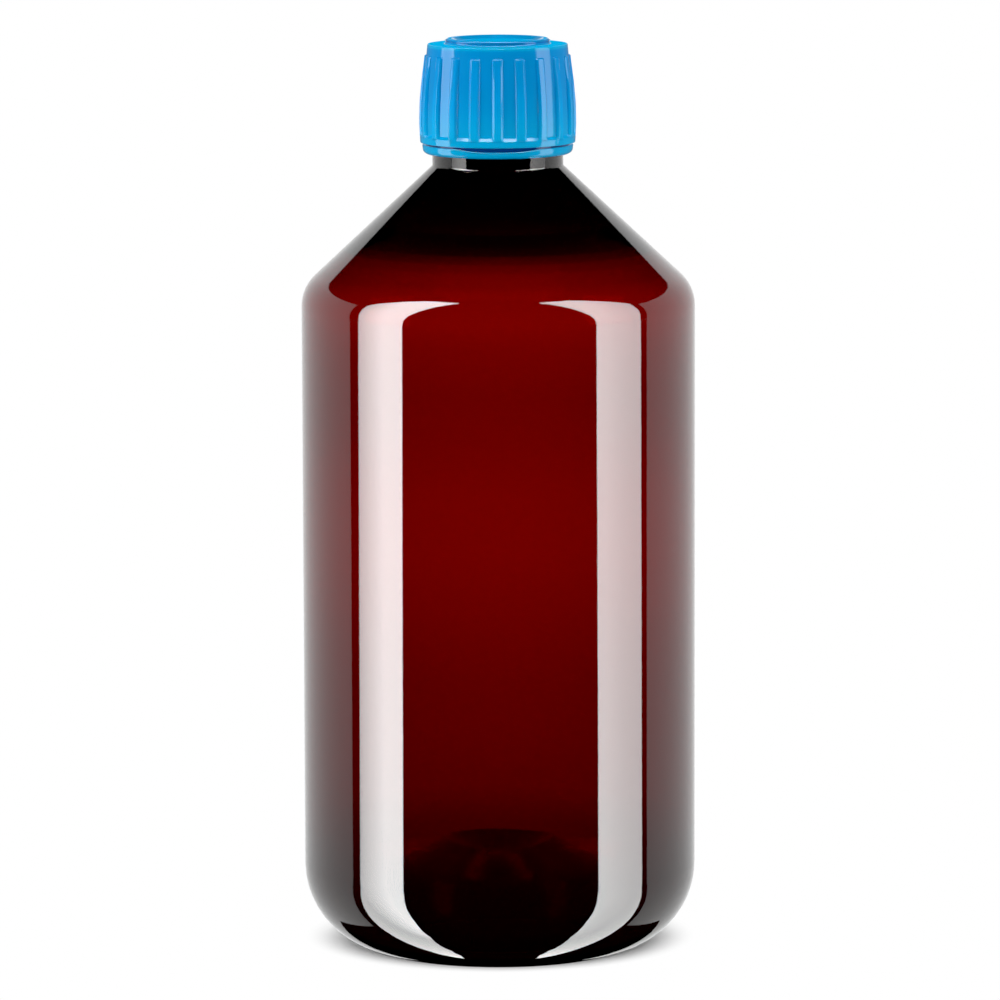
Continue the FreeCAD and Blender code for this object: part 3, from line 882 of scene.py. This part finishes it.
def makeWorld(s=worldSettings):
    world = bpy.data.worlds.new("studioWorld")
    scene.world = world
    world.use_nodes = True
    world.cycles.sampling_method = "NONE"
    tree = world.node_tree
    tree.nodes.clear()
    looked = addNode(tree, "ShaderNodeTexCoord").outputs["Generated"]
    x, y, z = addNode(tree, "ShaderNodeSeparateXYZ", {}, {0: looked}).outputs
    wide = calc(tree, "ABSOLUTE", x)
    side = calc(tree, "MAXIMUM", wide, 0.0001)
    front = calc(tree, "MULTIPLY", y, -1.0)
    forward = calc(tree, "DIVIDE", front, side)
    up = calc(tree, "DIVIDE", z, side)
    onRight = calc(tree, "GREATER_THAN", x, 0.0)

    # each edge is a curve over up, and both run from 0 to 1 inside the curve
    (lowUp, highUp), (back, ahead) = s["upSpan"], s["forwardSpan"]
    upSpan = addNode(tree, "ShaderNodeMapRange", {"From Min": lowUp, "From Max": highUp}, {"Value": up})
    edges = {}
    for name in ("nearEdge", "farEdge"):
        curve = addNode(tree, "ShaderNodeFloatCurve", {}, {"Value": upSpan})
        points = sorted(((a - lowUp) / (highUp - lowUp), (b - back) / (ahead - back)) for a, b in s[name])
        dots = curve.mapping.curves[0].points
        while len(dots) < len(points):
            dots.new(0.5, 0.5)
        for dot, spot in zip(dots, points):
            dot.location = spot
            dot.handle_type = "VECTOR"
        curve.mapping.update()
        edges[name] = calc(tree, "MULTIPLY_ADD", curve, ahead - back, back)
    # the amber wall mirrors singly, the satin cap doesn't: its lights sit a little further back
    ray = addNode(tree, "ShaderNodeLightPath")
    satin = calc(tree, "SUBTRACT", 1.0, ray.outputs["Is Singular Ray"])
    shifted = []
    for i, name in enumerate(("farEdge", "nearEdge")):
        onSide = addNode(tree, "ShaderNodeMapRange",
                         {"To Min": s["capShift"][0][i], "To Max": s["capShift"][1][i]}, {"Value": onRight})
        moved = calc(tree, "MULTIPLY_ADD", satin, onSide, edges[name])
        shifted.append(calc(tree, "MULTIPLY_ADD", onRight, s["rightTrim"][i], moved))
    far, near = shifted
    pastFar = calc(tree, "SUBTRACT", forward, far)
    beforeNear = calc(tree, "SUBTRACT", near, forward)
    inStrip = calc(tree, "MINIMUM", pastFar, beforeNear)
    soft = {"interpolation_type": "SMOOTHSTEP", "From Min": 0.0, "From Max": s["soft"]}
    strip = addNode(tree, "ShaderNodeMapRange", soft, {"Value": inStrip})
    lights = []
    for low, high, ramp in ((*s["leftLight"], s["leftRamp"]), (*s["rightLight"], s["rightRamp"])):
        lights.append(addNode(tree, "ShaderNodeMapRange",
                              {"From Min": 0.0, "From Max": ramp, "To Min": low, "To Max": high},
                              {"Value": forward}))
    level = addNode(tree, "ShaderNodeMix", {"data_type": "FLOAT"}, {0: onRight, 2: lights[0], 3: lights[1]})
    onSatin = addNode(tree, "ShaderNodeMapRange", {"To Min": 1.0, "To Max": s["satinShare"]},
                      {"Value": satin})
    # the upright neck is the one amber wall that reflects at just this height under the horizon
    nearHorizon = calc(tree, "COMPARE", z, s["neckSees"][0], s["neckSees"][1])
    onNeck = calc(tree, "MULTIPLY", nearHorizon, ray.outputs["Is Singular Ray"])
    dimmed = addNode(tree, "ShaderNodeMapRange", {"To Min": 1.0, "To Max": s["neckShare"]}, {"Value": onNeck})
    both = calc(tree, "MULTIPLY", onSatin, dimmed)
    shown = calc(tree, "MULTIPLY", level, both)
    stripLight = calc(tree, "MULTIPLY", strip, shown)

    leaning = calc(tree, "MULTIPLY_ADD", up, s["backLean"][0], s["backLean"][1])
    backEdge = calc(tree, "MINIMUM", leaning, s["backEdge"])
    atNeck = addNode(tree, "ShaderNodeMapRange", {"To Max": 0.0}, {"Value": onNeck, "To Min": backEdge})
    pastEdge = calc(tree, "SUBTRACT", atNeck, forward)
    behind = addNode(tree, "ShaderNodeMapRange", soft, {"Value": pastEdge})
    # the backdrop's foot runs down further where it stands further back
    (start, foot), (end, deepFoot) = s["backFoot"]
    further = addNode(tree, "ShaderNodeMapRange",
                      {"From Min": start, "From Max": end, "To Min": foot, "To Max": deepFoot},
                      {"Value": forward})
    aboveFoot = calc(tree, "SUBTRACT", up, further)
    standing = addNode(tree, "ShaderNodeMapRange", soft, {"Value": aboveFoot})
    ceiling = addNode(tree, "ShaderNodeMapRange",
                      {"interpolation_type": "SMOOTHSTEP", "From Min": s["backTop"][0],
                       "From Max": s["backTop"][1]}, {"Value": z})
    beside = addNode(tree, "ShaderNodeMapRange",
                     {"From Min": s["besideGap"][0], "From Max": s["besideGap"][1], "To Min": s["satinBack"],
                      "To Max": 1.0}, {"Value": wide})
    dull = addNode(tree, "ShaderNodeMapRange", {"To Min": 1.0}, {"Value": satin, "To Max": beside})
    backdrop = behind
    for part in (standing, ceiling, dull):
        backdrop = calc(tree, "MULTIPLY", backdrop, part)

    # only the satin pieces see the soft box above
    box = calc(tree, "MULTIPLY", satin, s["boxLight"])
    for (start, end), value in ((s["boxWide"], wide), (s["boxFront"], y), (s["boxLow"], z)):
        limit = addNode(tree, "ShaderNodeMapRange",
                        {"interpolation_type": "SMOOTHSTEP", "From Min": start, "From Max": end},
                        {"Value": value})
        box = calc(tree, "MULTIPLY", box, limit)
    # painted reflection: a narrow blue band straight behind, seen only in the satin pieces' gloss
    straight = addNode(tree, "ShaderNodeMapRange",
                       {"interpolation_type": "SMOOTHSTEP", "From Min": s["behindGap"][1],
                        "From Max": s["behindGap"][0]}, {"Value": wide})
    atBack = calc(tree, "GREATER_THAN", y, 0.5)
    gap = straight
    for part in (satin, atBack, ray.outputs["Is Glossy Ray"]):
        gap = calc(tree, "MULTIPLY", gap, part)
    backdrop = calc(tree, "MAXIMUM", backdrop, gap)
    sideLights = calc(tree, "ADD", stripLight, backdrop)
    mirrored = calc(tree, "ADD", sideLights, box)
    fill = addNode(tree, "ShaderNodeMapRange", {"To Min": s["fill"][0], "To Max": s["fill"][1]}, {"Value": z})
    around = addNode(tree, "ShaderNodeMapRange",
                     {"From Min": -1.0, "From Max": 0.0, "To Min": s["fillFront"]}, {"Value": y})
    fill = calc(tree, "MULTIPLY", fill, around)
    glossy = addNode(tree, "ShaderNodeMix", {"data_type": "FLOAT"},
                     {0: ray.outputs["Is Glossy Ray"], 2: fill, 3: mirrored})
    seen = calc(tree, "MAXIMUM", ray.outputs["Is Camera Ray"], ray.outputs["Is Transmission Ray"])
    strength = addNode(tree, "ShaderNodeMix", {"data_type": "FLOAT", 3: 1.0}, {0: seen, 2: glossy})
    colour = addNode(tree, "ShaderNodeMix", {"data_type": "RGBA", 6: (1.0, 1.0, 1.0, 1.0),
                                             7: linear(s["paintedRimColour"])}, {0: gap})
    light = addNode(tree, "ShaderNodeBackground", {}, {"Color": colour.outputs[2], "Strength": strength})
    addNode(tree, "ShaderNodeOutputWorld", {}, {"Surface": light})


# Soft lamps, in metres and watts; reflections are the world's, so the lamps stay out of them
lampSettings = [
    {"name": "softLeft", "at": (-1.5, -0.6, 0.4), "size": 0.9, "power": 13.0},
    {"name": "softRight", "at": (1.5, -0.6, 0.4), "size": 0.9, "power": 8.4},
    {"name": "softAbove", "at": (0.0, 0.1, 1.9), "size": 1.2, "power": 9.0},
]


def makeLamps():
    aim = Vector((0.0, 0.0, 100 * mm))
    for s in lampSettings:
        lamp = bpy.data.lights.new(s["name"], "AREA")
        lamp.size = s["size"]
        lamp.energy = s["power"]
        holder = bpy.data.objects.new(s["name"], lamp)
        holder.location = s["at"]
        holder.rotation_euler = (aim - holder.location).to_track_quat("-Z", "Y").to_euler()
        holder.visible_glossy = False
        scene.collection.objects.link(holder)


# Camera, in mm
cameraSettings = {"distance": 1650.0, "height": 332.0, "aim": (0.27, 0.0, 105.42), "lens": 256.9,
                  "roll": -0.17}


def makeCamera(s=cameraSettings):
    data = bpy.data.cameras.new("studioCamera")
    data.lens = s["lens"]
    data.sensor_width = 36.0
    data.clip_end = 50.0
    camera = bpy.data.objects.new("studioCamera", data)
    camera.location = Vector((0.0, -s["distance"], s["height"])) * mm
    aim = Vector(s["aim"]) * mm
    turn = (aim - camera.location).to_track_quat("-Z", "Y") @ Quaternion((0.0, 0.0, 1.0),
                                                                         math.radians(s["roll"]))
    camera.rotation_euler = turn.to_euler()
    scene.collection.objects.link(camera)
    scene.camera = camera


makeFloor()
makeWorld()
makeLamps()
makeCamera()
scene.view_settings.view_transform = "Standard"
print("studio ready")
